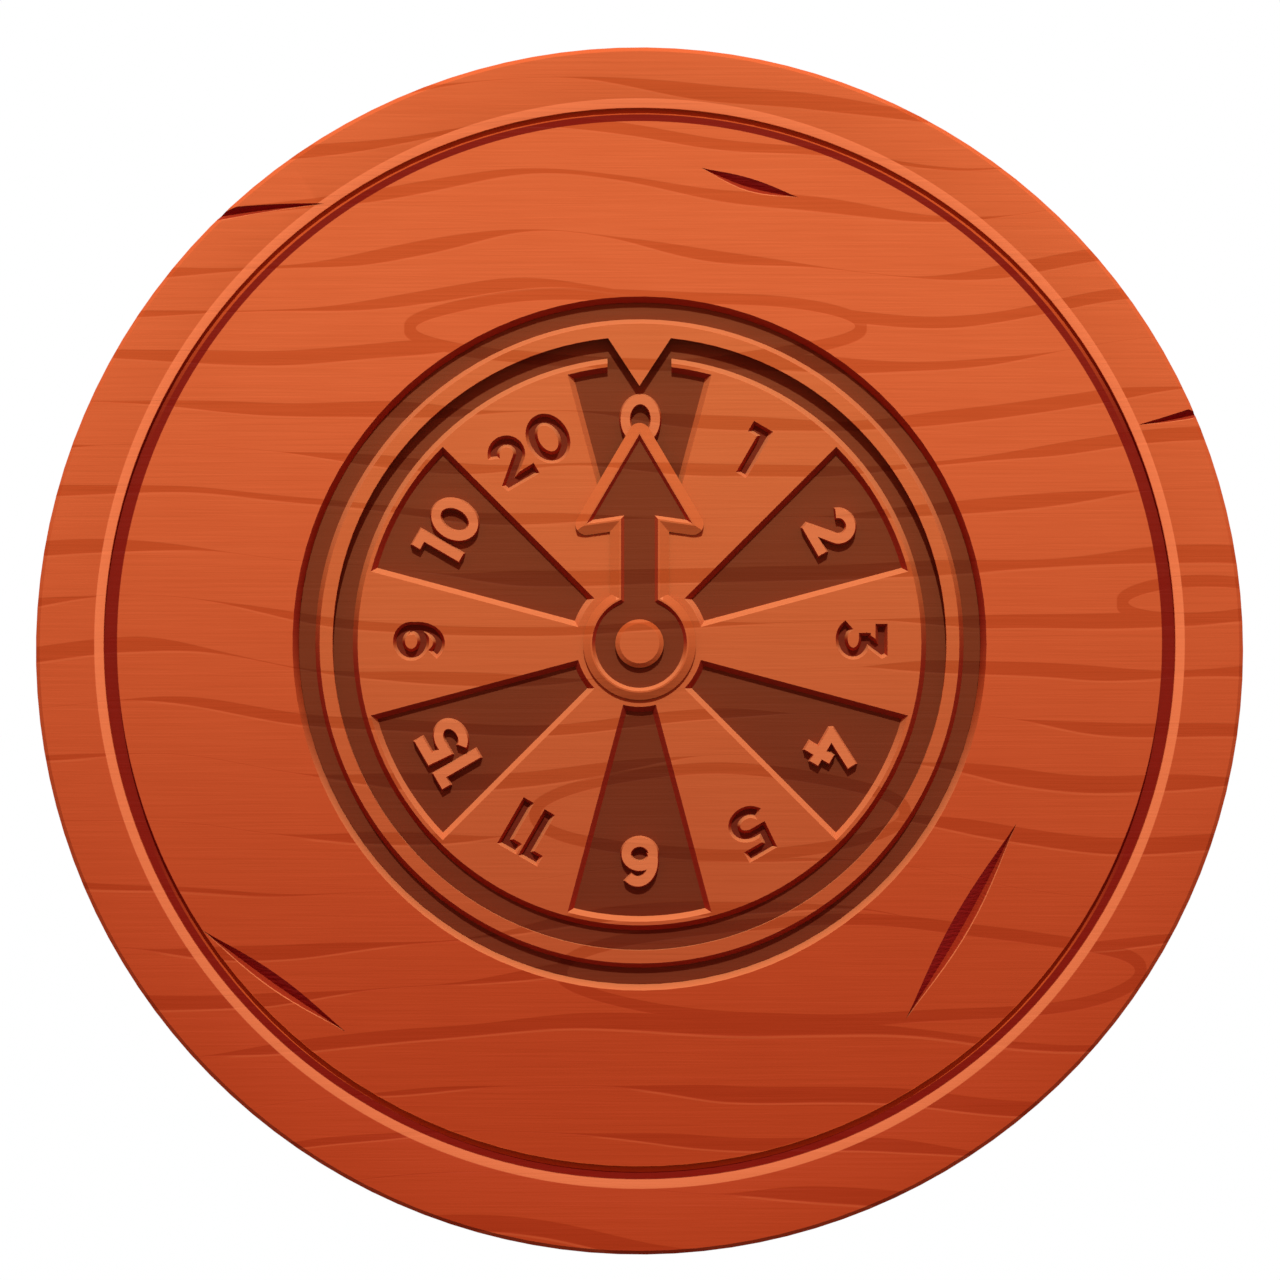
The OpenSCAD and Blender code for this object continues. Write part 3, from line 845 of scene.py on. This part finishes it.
@dataclass(frozen=True)
class NumeralStyle:
    """Bold upright numerals of one stroke width. Sizes in millimetres."""

    height: float = 24.4
    stroke: float = 4.6
    step: float = 7.0

    def arc(self, x: float, y: float, rx: float, ry: float, start: float, end: float) -> list[Point]:
        """Sample part of an ellipse.

        Args:
            x: Centre across.
            y: Centre up.
            rx: Half width.
            ry: Half height.
            start: First angle in degrees.
            end: Last angle in degrees.

        Returns:
            Points from the first to the last angle.
        """
        count = max(2, round(abs(end - start) / self.step))
        angles = [math.radians(start + (end - start) * i / count) for i in range(count + 1)]
        return [(x + rx * math.cos(a), y + ry * math.sin(a)) for a in angles]

    def strokes(self, digit: str) -> tuple[float, list[Stroke]]:
        """Draw a digit round its own middle.

        Args:
            digit: The digit.

        Returns:
            Its width over all, and its strokes.
        """
        top = (self.height - self.stroke) / 2
        end = self.height / 2
        six = [
            Stroke(tuple(self.arc(0.3, -3.9, 6.7, top - 3.9, 0, 360)[:-1]), closed=True),
            Stroke(tuple(self.arc(1.2, -0.5, 7.6, top + 0.5, 52, 205))),
        ]
        drawn: dict[str, tuple[float, list[Stroke]]] = {
            "0": (19.6, [Stroke(tuple(self.arc(0, 0, 7.5, top, 0, 360)[:-1]), closed=True)]),
            "1": (9.4, [Stroke(((-4.2, top), (2.3, top), (2.3, -end)))]),
            "2": (18.4, [
                Stroke((*self.arc(-0.2, 3.6, 6.4, top - 3.6, 160, -38), (-6.4, -top), (7.9, -top))),
            ]),
            "3": (18.6, [
                Stroke(((-6.9, top), (5.2, top), (-0.9, 1.9))),
                Stroke(((-2.4, 1.6), *self.arc(-0.8, -4.15, 7.2, top - 4.15, 90, -148))),
            ]),
            "4": (20.0, [
                Stroke(((1.4, end), (-7.4, -4.7), (9.6, -4.7))),
                Stroke(((3.7, 1.8), (3.7, -end))),
            ]),
            "5": (18.4, [
                Stroke((
                    (6.6, top), (-4.9, top), (-5.5, 1.5), *self.arc(-0.8, -4.2, 7.2, top - 4.2, 90, -150)
                )),
            ]),
            "6": (19.0, six),
            "9": (19.0, [Stroke(tuple((-x, -y) for x, y in s.points), s.closed) for s in six]),
        }
        return drawn[digit]


@dataclass(frozen=True)
class Numeral:
    """One number of the dial, with its clock place in sectors and its relief."""

    text: str
    sector: int
    relief: Relief


@dataclass
class NumberWheel:
    """Turning dial with its numerals. Sizes in millimetres."""

    face: float = 61.8
    floor: float = 56.6
    raised_top: float = 61.35
    raised_draft: float = 0.9
    sunk_floor: float = 57.0
    sunk_draft: float = 1.5
    sunk_widening: float = 0.7
    numeral_r: float = 110.0
    numeral_shift: Point = (0.4, 1.4)
    sectors: int = 12
    letter_gap: float = 2.6
    over: float = 1.0
    style: NumeralStyle = NumeralStyle()
    texts: tuple[str, ...] = ("0", "1", "2", "3", "4", "5", "6", "11", "15", "9", "10", "20")

    def numerals(self) -> list[Numeral]:
        """List the numbers clockwise from the top: raised in the sunk sectors, sunk in the level ones."""
        reliefs = (Relief.RAISED, Relief.SUNK)
        return [Numeral(text, i, reliefs[i % 2]) for i, text in enumerate(self.texts)]

    def build(self, wood: Material, cut: Material) -> Object:
        """Make the wheel with its numerals.

        Args:
            wood: Finish of the wheel.
            cut: Finish inside the sunk numerals.

        Returns:
            The finished piece.
        """
        piece = Workshop.cad_copy("number_wheel", "carved_number_wheel")
        piece.data.materials.append(wood)
        for relief, carve, finish in ((Relief.RAISED, Carve.JOIN, wood), (Relief.SUNK, Carve.CUT, cut)):
            tool = self.numeral_solids(relief)
            tool.data.materials.append(finish)
            Workshop.combine(piece, tool, carve)
        Workshop.smooth(piece)
        return piece

    def numeral_solids(self, relief: Relief) -> Object:
        """Make all the numerals of one relief as one tool.

        Args:
            relief: Raised or sunk.

        Returns:
            The tool.
        """
        work = bmesh.new()
        for numeral in self.numerals():
            if numeral.relief is relief:
                self.add_numeral(work, numeral)
        return Workshop.solid(f"{relief.value}_numerals", work)

    def add_numeral(self, work: BMesh, numeral: Numeral) -> None:
        """Add the strokes of one number, set out side by side.

        Args:
            work: Mesh under construction.
            numeral: The number.
        """
        drawn = [self.style.strokes(digit) for digit in numeral.text]
        left = -(sum(width for width, _ in drawn) + self.letter_gap * (len(drawn) - 1)) / 2
        for width, strokes in drawn:
            for stroke in strokes:
                self.add_stroke(work, stroke, left + width / 2, numeral)
            left += width + self.letter_gap

    def add_stroke(self, work: BMesh, stroke: Stroke, shift: float, numeral: Numeral) -> None:
        """Add one stroke as a closed solid with sloping sides.

        Args:
            work: Mesh under construction.
            stroke: The stroke.
            shift: Distance of its digit from the number's middle.
            numeral: Number that it belongs to.
        """
        half = self.style.stroke / 2
        if numeral.relief is Relief.RAISED:
            levels = ((self.floor - self.over, half + self.raised_draft), (self.raised_top, half))
        else:
            wide = half + self.sunk_widening
            slope = self.sunk_draft / (self.face - self.sunk_floor)
            mouth = (self.face + self.over, wide + slope * self.over)
            levels = ((self.sunk_floor, wide - self.sunk_draft), mouth)
        narrow = min(width for _, width in levels)
        turn = -2 * math.pi * numeral.sector / self.sectors
        rings: list[list[BMVert]] = []
        for height, width in levels:
            for side in stroke.sides(width, width - narrow):
                ring = []
                for x, y in side:
                    u, v = x + shift, y + self.numeral_r
                    across = u * math.cos(turn) - v * math.sin(turn) + self.numeral_shift[0]
                    up = u * math.sin(turn) + v * math.cos(turn) + self.numeral_shift[1]
                    ring.append(work.verts.new(Workshop.stand(across, up, height)))
                rings.append(ring)
        loop = (0, 1, 3, 2)
        count = len(rings[0])
        for i in range(count if stroke.closed else count - 1):
            j = (i + 1) % count
            for a, b in zip(loop, loop[1:] + loop[:1]):
                work.faces.new((rings[a][i], rings[a][j], rings[b][j], rings[b][i]))
        if not stroke.closed:
            work.faces.new([rings[a][0] for a in loop])
            work.faces.new([rings[a][-1] for a in reversed(loop)])
        bmesh.ops.remove_doubles(work, verts=[vert for ring in rings for vert in ring], dist=JOIN_GAP)


@dataclass(frozen=True)
class Split:
    """Drying split in the board. Ends and sizes in millimetres from the wheel's axis."""

    start: Point
    end: Point
    width: float
    depth: float
    bow: float = 0.0
    open_start: bool = False

    def half_width(self, t: float) -> float:
        """Give half the split's width at a share of its length."""
        shape = (1 - t) ** 0.8 if self.open_start else math.sin(math.pi * t) ** 1.15
        return max(self.width / 2 * shape, 0.06)


@dataclass
class Board:
    """Round wall board with its drying splits. Sizes in millimetres."""

    face: float = 64.0
    over: float = 2.0
    steps: int = 14
    shallow: float = 0.25
    lean: float = 0.3
    splits: tuple[Split, ...] = (
        Split((-211.0, 212.8), (-156.5, 218.6), 6.4, 4.5, -0.6, True),
        Split((31.0, 236.2), (78.8, 221.7), 6.6, 3.6, 1.2),
        Split((279.0, 115.4), (248.5, 108.8), 6.0, 4.5, 0.4, True),
        Split((187.0, -89.8), (132.6, -186.2), 9.4, 5.4, 0.8),
        Split((-217.0, -142.5), (-146.3, -192.6), 7.4, 5.0, 0.2),
    )

    def build(self, wood: Material, raw: Material) -> Object:
        """Make the board and cut its splits.

        Args:
            wood: Finish of the board.
            raw: Finish inside the splits.

        Returns:
            The finished piece.
        """
        piece = Workshop.cad_copy("backboard", "carved_backboard")
        piece.data.materials.append(wood)
        for split in self.splits:
            tool = self.wedge(split)
            tool.data.materials.append(raw)
            Workshop.combine(piece, tool, Carve.CUT)
        Workshop.smooth(piece)
        return piece

    def wedge(self, split: Split) -> Object:
        """Make the wedge that cuts one split.

        Args:
            split: The split.

        Returns:
            The tool.
        """
        start, end = Vector(split.start), Vector(split.end)
        along = (end - start).normalized()
        side = Vector((-along.y, along.x)) * (1.0 if along.x < 0 else -1.0)
        rows = []
        for i in range(self.steps + 1):
            t = i / self.steps
            middle = start.lerp(end, t) + side * (split.bow * math.sin(math.pi * t))
            half = split.half_width(t)
            fullness = min(1.0, 2 * half / split.width)
            sink = split.depth * (self.shallow + (1 - self.shallow) * fullness)
            floor = (half * self.lean, -sink)
            section = ((half, self.over), (half, 0.0), floor, (-half, 0.0), (-half, self.over))
            rows.append([Workshop.stand(*(middle + side * across), self.face + up) for across, up in section])
        return Workshop.prism("split_wedge", rows)


@dataclass(frozen=True)
class CarvedPiece:
    """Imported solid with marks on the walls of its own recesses. Reach in millimetres."""

    node: str
    name: str
    body: Body
    slot: Slot
    reach: float = 6.0
    flattest: float = 0.2

    def build(self, finish: Material) -> Object:
        """Make the piece.

        Args:
            finish: Its finish.

        Returns:
            The finished piece.
        """
        piece = Workshop.cad_copy(self.node, self.name)
        piece.data.materials.append(finish)
        Workshop.smooth(piece)
        self.mark_recess(piece.data)
        return piece

    def mark_recess(self, mesh: Mesh) -> None:
        """Mark the walls that the piece goes on in front of, within reach.

        Args:
            mesh: Mesh of the piece.
        """
        tree = BVHTree.FromPolygons([v.co for v in mesh.vertices], [p.vertices for p in mesh.polygons])
        mark = mesh.attributes.new(RECESS, "FLOAT", "FACE")
        for polygon in mesh.polygons:
            way = Vector((polygon.normal.x, 0.0, polygon.normal.z))
            if way.length > self.flattest:
                spot = polygon.center + way.normalized() * (self.reach * MM)
                hit = tree.ray_cast(Vector((spot.x, -1.0, spot.z)), Vector((0.0, 1.0, 0.0)))
                mark.data[polygon.index].value = float(hit[0] is not None)


@dataclass(frozen=True)
class ScrewRow:
    """Screws of one kind. Sizes in millimetres, places on the dial."""

    node: str
    name: str
    shank_r: float
    length: float
    head_height: float
    places: tuple[Point, ...]


@dataclass
class Fixings:
    """Screws behind the board, set out by Geometry Nodes."""

    head_ratio: float = 2.0
    point_ratio: float = 1.5
    thread_ratio: float = 0.8
    pitch_ratio: float = 0.8
    slot_width_ratio: float = 0.45
    slot_depth_ratio: float = 0.7
    slot_flare: float = 1.2
    head_fit: float = 0.985
    shank_fit: float = 0.98
    plain_share: float = 0.4
    segments: int = 24
    sharp_degrees: float = 35.0
    seed: int = 7
    batten_x: float = 120.0
    batten_rows: tuple[float, ...] = (75.0, 201.67)
    ring_circle_r: float = 158.4
    flange_circle_r: float = 17.0

    def rows(self) -> list[ScrewRow]:
        """List the screws of the battens, the ring and the spindle's flange.

        Returns:
            One row for each.
        """
        ends = [(sx, y, sy) for sx in (-1, 1) for y in self.batten_rows for sy in (-1, 1)]
        battens = tuple((sx * self.batten_x, sy * y) for sx, y, sy in ends)
        ring, flange = self.circle(self.ring_circle_r, 6), self.circle(self.flange_circle_r, 4)
        return [
            ScrewRow("batten_screws", "slotted_batten_screws", 2.2, 33.6, 0.4, battens),
            ScrewRow("ring_screws", "slotted_ring_screws", 1.6, 36.6, 22.4, ring),
            ScrewRow("flange_screws", "slotted_flange_screws", 2.0, 14.6, 18.4, flange),
        ]

    @staticmethod
    def circle(radius: float, count: int) -> tuple[Point, ...]:
        """Place screws evenly on a circle, half a step from the top."""
        angles = [math.radians(90 + (i + 0.5) * 360 / count) for i in range(count)]
        return tuple((radius * math.cos(a), radius * math.sin(a)) for a in angles)

    def build(self, row: ScrewRow, steel: Material) -> Object:
        """Make one row of screws.

        Args:
            row: The row.
            steel: Finish of the screws.

        Returns:
            The finished piece, one plain mesh.
        """
        pattern = self.screw(row)
        mesh = bpy.data.meshes.new(row.name)
        mesh.from_pydata([tuple(Workshop.stand(x, y, row.head_height)) for x, y in row.places], [], [])
        piece = Workshop.link(row.name, mesh)
        tree = self.tree()
        modifier = piece.modifiers.new("screws", "NODES")
        modifier.node_group = tree
        inputs = [item for item in tree.interface.items_tree if item.in_out == "INPUT"]
        sockets = {item.name: item.identifier for item in inputs}
        modifier[sockets["Screw"]] = pattern
        modifier[sockets["Seed"]] = self.seed
        modifier[sockets["Finish"]] = steel
        Workshop.settle(piece)
        bpy.data.objects.remove(pattern)
        Workshop.smooth(piece, self.sharp_degrees)
        return piece

    def screw(self, row: ScrewRow) -> Object:
        """Make one slotted screw with its head at the origin, pointing to the front.

        Args:
            row: Row that the screw belongs to.

        Returns:
            The pattern for the row.
        """
        r, length, pitch = row.shank_r, row.length, self.pitch_ratio * row.shank_r
        head, shank, point = self.head_ratio * r * self.head_fit, r * self.shank_fit, self.point_ratio * r
        depth = length * self.plain_share
        profile = [(0.0, 0.0), (head * 0.96, 0.0), (head, 0.05 * r), (shank, head - r), (shank, depth)]
        while depth + pitch < length - point:
            profile += [(r * self.thread_ratio, depth + 0.3 * pitch), (shank, depth + 0.8 * pitch)]
            depth += pitch
        profile += [(r * 0.6, length - point), (0.0, length - 0.02)]
        turns = [2 * math.pi * k / self.segments for k in range(self.segments)]
        work = bmesh.new()
        for pair in zip(profile, profile[1:]):
            near, far = [
                [work.verts.new(Workshop.stand(p * math.cos(t), p * math.sin(t), d)) for t in turns]
                for p, d in pair
            ]
            for k in range(self.segments):
                n = (k + 1) % self.segments
                work.faces.new((near[k], near[n], far[n], far[k]))
        bmesh.ops.remove_doubles(work, verts=work.verts, dist=JOIN_GAP)
        bmesh.ops.dissolve_degenerate(work, dist=1e-8, edges=work.edges)
        screw = Workshop.solid("screw_pattern", work)
        Workshop.combine(screw, self.slot(head, r), Carve.CUT)
        return screw

    def slot(self, head: float, r: float) -> Object:
        """Make the block that cuts a screw's slot.

        Args:
            head: Radius of the head.
            r: Radius of the shank.

        Returns:
            The tool.
        """
        half, depth = self.slot_width_ratio * r / 2, self.slot_depth_ratio * r
        wide = half * self.slot_flare
        section = ((-wide, -1.0), (wide, -1.0), (half, depth), (-half, depth))
        ends = (-head - 1, head + 1)
        return Workshop.prism("slot_block", [[Workshop.stand(x, y, d) for y, d in section] for x in ends])

    @staticmethod
    def tree() -> GeometryNodeTree:
        """Build the tree that sets a screw on each point, turned at random about its own axis.

        Returns:
            The tree, with named inputs.
        """
        tree = bpy.data.node_groups.new("screw_row", "GeometryNodeTree")
        sockets = (
            ("Points", "INPUT", "NodeSocketGeometry"),
            ("Screw", "INPUT", "NodeSocketObject"),
            ("Seed", "INPUT", "NodeSocketInt"),
            ("Finish", "INPUT", "NodeSocketMaterial"),
            ("Screws", "OUTPUT", "NodeSocketGeometry"),
        )
        for name, way, kind in sockets:
            tree.interface.new_socket(name, in_out=way, socket_type=kind)
        g = Graph(tree)
        points = g.node("NodeGroupInput", out="Points")
        screw = g.node("GeometryNodeObjectInfo", values={"Object": points.of("Screw")}, out="Geometry")
        ends = {"Min": (0.0, -math.pi, 0.0), "Max": (0.0, math.pi, 0.0), "Seed": points.of("Seed")}
        turn = g.node("FunctionNodeRandomValue", {"data_type": "FLOAT_VECTOR"}, ends)
        spread = {"Points": points, "Instance": screw, "Rotation": turn}
        screws = g.node("GeometryNodeInstanceOnPoints", values=spread)
        screws = g.node("GeometryNodeRealizeInstances", values={"Geometry": screws})
        dressed = {"Geometry": screws, "Material": points.of("Finish")}
        g.add("NodeGroupOutput", values={"Screws": g.node("GeometryNodeSetMaterial", values=dressed)})
        return tree


@dataclass
class Studio:
    """Pale floor, soft light and a camera square to the dial. Sizes in metres."""

    photo_width: float = 0.6358
    axis_offset: Point = (0.00025, 0.00174)
    face: float = -0.064
    lens: float = 200.0
    sensor: float = 36.0
    floor_z: float = -0.46
    floor_half: float = 30.0
    floor_pale: Colour = (0.453, 0.350, 0.353, 1.0)
    floor_bounce: Colour = (0.12, 0.12, 0.12, 1.0)
    floor_glow: Colour = (0.285, 0.538, 0.552, 1.0)
    ambient: float = 0.5
    fill: Colour = (1.35, 0.30, 0.22, 1.0)
    lamp_tint: tuple[float, float, float] = (0.77, 1.0, 0.99)
    lamp_distance: float = 3.0
    key: float = 3.4
    key_angle: float = 2.0
    key_way: tuple[float, float, float] = (0.0, -1.0, 0.88)
    rear: float = 2.6
    rear_angle: float = 20.0
    rear_way: tuple[float, float, float] = (0.35, 1.0, 0.7)

    def build(self) -> None:
        """Set up the floor, the world, the lamps and the camera."""
        self.add_world()
        self.add_floor()
        self.add_sun("key_sun", self.key, self.key_angle, Vector(self.key_way))
        self.add_sun("rear_sun", self.rear, self.rear_angle, Vector(self.rear_way))
        self.add_camera()

    def add_world(self) -> None:
        """White behind the object, and a plain level of light all round."""
        g = Graph(bpy.data.worlds.new("studio_world"))
        fill = g.node("ShaderNodeBackground", values={"Color": self.fill, "Strength": self.ambient})
        white = g.node("ShaderNodeBackground", values={"Color": (1.0, 1.0, 1.0, 1.0)})
        light = g.node("ShaderNodeMixShader", values={0: g.seen(), 1: fill, 2: white})
        g.end(light, "ShaderNodeOutputWorld")
        bpy.context.scene.world = g.owner

    def add_floor(self) -> None:
        """Pale floor below the board, which keeps its shadow."""
        half, z = self.floor_half, self.floor_z
        corners = [(-half, -half, z), (half, -half, z), (half, half, z), (-half, half, z)]
        mesh = bpy.data.meshes.new("studio_floor")
        mesh.from_pydata(corners, [], [(0, 1, 2, 3)])
        floor = Workshop.link("studio_floor", mesh)
        g = Graph.named("studio_floor_white")
        seen = g.seen()
        tone = g.mix(seen, self.floor_bounce, self.floor_pale)
        pale = g.node("ShaderNodeBsdfDiffuse", values={"Color": tone})
        glow = g.node("ShaderNodeEmission", values={"Color": self.floor_glow, "Strength": seen})
        g.end(g.node("ShaderNodeAddShader", values={0: pale, 1: glow}))
        mesh.materials.append(g.owner)

    def add_sun(self, name: str, strength: float, angle: float, towards: Vector) -> None:
        """Add a lamp at a great distance.

        Args:
            name: Name of the lamp.
            strength: Light that falls on a square metre.
            angle: Width of the lamp as seen from the object, in degrees.
            towards: Direction from the object to the lamp.
        """
        data = bpy.data.lights.new(name, "SUN")
        data.energy = strength
        data.color = self.lamp_tint
        data.angle = math.radians(angle)
        lamp = bpy.data.objects.new(name, data)
        lamp.rotation_mode = "QUATERNION"
        lamp.rotation_quaternion = towards.to_track_quat("Z", "Y")
        lamp.location = towards.normalized() * self.lamp_distance
        bpy.context.collection.objects.link(lamp)

    def add_camera(self) -> None:
        """Camera square to the dial, far off with a long lens."""
        data = bpy.data.cameras.new("front_camera")
        data.lens = self.lens
        data.sensor_width = self.sensor
        camera = bpy.data.objects.new("front_camera", data)
        distance = self.photo_width * self.lens / self.sensor
        x, z = self.axis_offset
        camera.location = (x, self.face - distance, z)
        camera.rotation_euler = (math.pi / 2, 0.0, 0.0)
        bpy.context.collection.objects.link(camera)
        bpy.context.scene.camera = camera


class GameWheel:
    """The whole object: its finishes and its pieces, in the order in which they are made."""

    def __init__(self) -> None:
        """Mix the finishes."""
        self.board_wood = CarvedWood("board_wood_oiled", floor_height=58.2, rim=RimGroove()).material()
        # The dial's top and low colours are painted light, lighter towards the top.
        dial = {"span": 170.0, "top": srgb(206, 106, 56), "low": srgb(178, 80, 41)}
        self.ring_wood = CarvedWood("ring_wood_oiled", 58.6, **dial).material()
        self.wheel_wood = CarvedWood("wheel_wood_oiled", 59.2, numeral_height=61.35, **dial).material()
        # The sunk numerals' floors are stained darker than the pockets; part of that darkness is painted
        # shade.
        dark = (0.29, 0.15, 0.14, 1.0)
        self.cut_wood = CarvedWood("cut_numeral_wood", 59.2, stain_tint=dark, **dial).material()
        self.hand_wood = CarvedWood("hand_wood_oiled", 63.6, True, **dial).material()
        self.split_wood = SplitWood().material()
        self.batten_wood = PlanedWood().material()
        self.steel = TurnedMetal("turned_steel", srgb(158, 160, 164), srgb(118, 117, 116)).material()
        self.brass = TurnedMetal("turned_brass", srgb(212, 170, 96), srgb(150, 108, 56)).material()
        self.fibre = PressedFibre().material()

    def build(self) -> None:
        """Make, dress and seat every piece."""
        board = Board().build(self.board_wood, self.split_wood)
        Workshop.seat(board, Body.BOARD, Slot.BOARD, "backboard")
        wheel = NumberWheel().build(self.wheel_wood, self.cut_wood)
        Workshop.seat(wheel, Body.WHEEL, Slot.WHEEL, "number_wheel")
        for carved, finish in (
            (CarvedPiece("pointer_ring", "carved_pointer_ring", Body.BOARD, Slot.BOARD), self.ring_wood),
            (CarvedPiece("spinner_hand", "carved_spinner_hand", Body.HAND, Slot.HAND), self.hand_wood),
            (CarvedPiece("spindle_cap", "turned_spindle_cap", Body.BOARD, Slot.HAND), self.hand_wood),
        ):
            Workshop.seat(carved.build(finish), carved.body, carved.slot, carved.node)
        fixings = Fixings()
        for row in fixings.rows():
            Workshop.seat(fixings.build(row, self.steel), Body.BOARD, Slot.STEEL, row.node)
        for material, nodes in (
            (self.batten_wood, ("left_batten", "right_batten")),
            (self.steel, ("spindle", "shoulder_washer", "spring_washer", "lock_nut")),
            (self.brass, ("wall_inserts", "rear_bush", "front_bush", "hand_bush")),
            (self.fibre, ("thrust_washer", "friction_washer")),
        ):
            for node in nodes:
                Workshop.dress(node, material)


def main() -> None:
    """Build the game wheel and its studio."""
    logging.basicConfig(level=logging.INFO, format="%(name)s: %(message)s")
    bpy.context.scene.view_settings.view_transform = "Standard"
    Studio().build()
    GameWheel().build()


if __name__ == "__main__":
    main()
